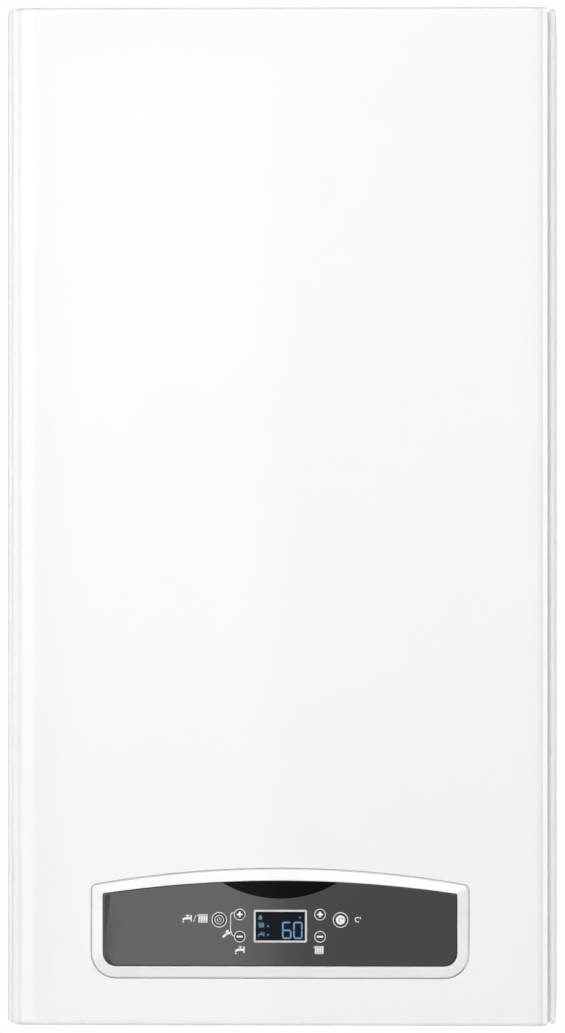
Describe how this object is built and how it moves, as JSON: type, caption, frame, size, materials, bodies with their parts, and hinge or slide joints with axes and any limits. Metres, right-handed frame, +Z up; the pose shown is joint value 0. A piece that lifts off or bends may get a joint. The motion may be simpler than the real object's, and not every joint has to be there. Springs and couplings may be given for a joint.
{
  "type": "wall-hung combi boiler",
  "caption": "Upright white box boiler for the wall, with an arched dark control panel low on its face, pipe tails below and a concentric flue collar on top.",
  "frame": {"origin": "on the wall, on the centre line, level with the casing's lower edge", "axes": "+X to the right seen from the front, -Y out of the wall towards the user, +Z up"},
  "size_m": [0.4, 0.3178, 0.741],
  "materials": {
    "white_enamel": "gloss white stoved enamel on steel sheet",
    "galvanised_steel": "galvanised steel sheet, satin",
    "plated_steel": "zinc-plated steel",
    "aluminised_steel": "aluminised steel sheet, satin",
    "stainless_steel": "stainless steel sheet",
    "cast_aluminium": "die-cast, matt",
    "copper": null,
    "brass": "turned brass",
    "red_enamel": "red stoved enamel on pressed steel",
    "white_moulding": "gloss white moulding",
    "anthracite_moulding": "satin anthracite moulding",
    "black_lens": "gloss black moulding",
    "display_pane": "dark display pane in a pale bezel",
    "button_cap": "anthracite caps with pale rings",
    "dark_moulding": "dark grey moulding",
    "pale_moulding": "pale moulding",
    "black_moulding": "black moulding",
    "composite_moulding": "glass-filled composite, matt black",
    "blue_moulding": "blue grip",
    "red_moulding": "red grip",
    "circuit_board": "green circuit board",
    "ceramic_fibre": null,
    "white_ceramic": "glazed sleeves on steel wires",
    "sight_glass": "clear pane in a ring"
  },
  "bodies": {
    "chassis": {"cover_screws": "plated_steel", "left_side_panel": "white_enamel", "right_side_panel": "white_enamel", "rear_frame": "galvanised_steel", "top_plate": "white_enamel", "top_rail": "galvanised_steel", "connection_plate": "galvanised_steel", "lower_rail": "galvanised_steel", "combustion_chamber": "galvanised_steel", "burner_housing": "aluminised_steel", "insulation_lining": "ceramic_fibre", "burner": "stainless_steel", "injector_manifold": "aluminised_steel", "spark_electrodes": "white_ceramic", "flame_probe": "white_ceramic", "heat_exchanger": "copper", "smoke_hood": "aluminised_steel", "fan_housing": "cast_aluminium", "fan_motor": "plated_steel", "air_pressure_switch": "pale_moulding", "flue_socket": "cast_aluminium", "air_intake_collar": "black_moulding", "expansion_vessel": "red_enamel", "plate_heat_exchanger": "stainless_steel", "flow_manifold": "composite_moulding", "return_manifold": "composite_moulding", "safety_valve": "brass", "pump_body": "composite_moulding", "pump_motor": "cast_aluminium", "air_vent": "black_moulding", "diverter_motor": "black_moulding", "pressure_sensor": "brass", "flow_sensor": "black_moulding", "gas_valve": "cast_aluminium", "gas_valve_coil": "black_moulding", "flow_pipe": "copper", "return_pipe": "copper", "gas_pipe": "copper", "vessel_pipe": "copper", "cable_gland": "black_moulding"},
    "cover": {"front_cover": "white_enamel", "cover_brackets": "galvanised_steel"},
    "control_box": {"control_box_housing": "dark_moulding", "control_box_lid": "dark_moulding", "main_board": "circuit_board", "fascia_frame": "white_moulding", "fascia_panel": "anthracite_moulding", "badge_lens": "black_lens", "display_window": "display_pane"},
    "chamber_panel": {"chamber_front_panel": "galvanised_steel", "sight_glass": "sight_glass"},
    "fan_wheel": {"fan_impeller": "stainless_steel"},
    "filling_tap": {"filling_tap_knob": "blue_moulding"},
    "relief_knob": {"safety_valve_knob": "red_moulding"},
    "power_button_cap": {"power_button": "button_cap"},
    "reset_button_cap": {"reset_button": "button_cap"},
    "hot_water_plus_button_cap": {"hot_water_plus_button": "button_cap"},
    "hot_water_minus_button_cap": {"hot_water_minus_button": "button_cap"},
    "heating_plus_button_cap": {"heating_plus_button": "button_cap"},
    "heating_minus_button_cap": {"heating_minus_button": "button_cap"}
  },
  "joints": [
    {"name": "cover_slide", "type": "slide", "parent": "chassis", "child": "cover", "axis": [0, -1, 0], "range_m": [0, 0.5]},
    {"name": "control_box_hinge", "type": "hinge", "parent": "chassis", "child": "control_box", "pos_m": [0, -0.298, 0.014], "axis": [1, 0, 0], "range_deg": [0, 85]},
    {"name": "chamber_panel_slide", "type": "slide", "parent": "chassis", "child": "chamber_panel", "axis": [0, -1, 0], "range_m": [0, 0.25]},
    {"name": "fan_spin", "type": "hinge", "parent": "chassis", "child": "fan_wheel", "pos_m": [-0.043, -0.165, 0.64], "axis": [0, 1, 0], "continuous": true},
    {"name": "filling_tap_turn", "type": "hinge", "parent": "chassis", "child": "filling_tap", "pos_m": [0.098, -0.16, 0.014], "axis": [0, 0, 1], "range_deg": [0, 360]},
    {"name": "relief_knob_turn", "type": "hinge", "parent": "chassis", "child": "relief_knob", "pos_m": [0.098, -0.18, 0.095], "axis": [0, 1, 0], "range_deg": [0, 90], "stiffness_Nm_per_rad": 0.05},
    {"name": "power_button_press", "type": "slide", "parent": "control_box", "child": "power_button_cap", "axis": [0, 1, 0], "range_m": [0, 0.0012], "stiffness_N_per_m": 1500},
    {"name": "reset_button_press", "type": "slide", "parent": "control_box", "child": "reset_button_cap", "axis": [0, 1, 0], "range_m": [0, 0.0012], "stiffness_N_per_m": 1500},
    {"name": "hot_water_plus_button_press", "type": "slide", "parent": "control_box", "child": "hot_water_plus_button_cap", "axis": [0, 1, 0], "range_m": [0, 0.0012], "stiffness_N_per_m": 1500},
    {"name": "hot_water_minus_button_press", "type": "slide", "parent": "control_box", "child": "hot_water_minus_button_cap", "axis": [0, 1, 0], "range_m": [0, 0.0012], "stiffness_N_per_m": 1500},
    {"name": "heating_plus_button_press", "type": "slide", "parent": "control_box", "child": "heating_plus_button_cap", "axis": [0, 1, 0], "range_m": [0, 0.0012], "stiffness_N_per_m": 1500},
    {"name": "heating_minus_button_press", "type": "slide", "parent": "control_box", "child": "heating_minus_button_cap", "axis": [0, 1, 0], "range_m": [0, 0.0012], "stiffness_N_per_m": 1500}
  ],
  "couplings": [
    {"joint": "control_box_hinge", "follows": "cover_slide", "rad_per_m": 2.9661},
    {"joint": "chamber_panel_slide", "follows": "cover_slide", "ratio": 0.5}
  ]
}
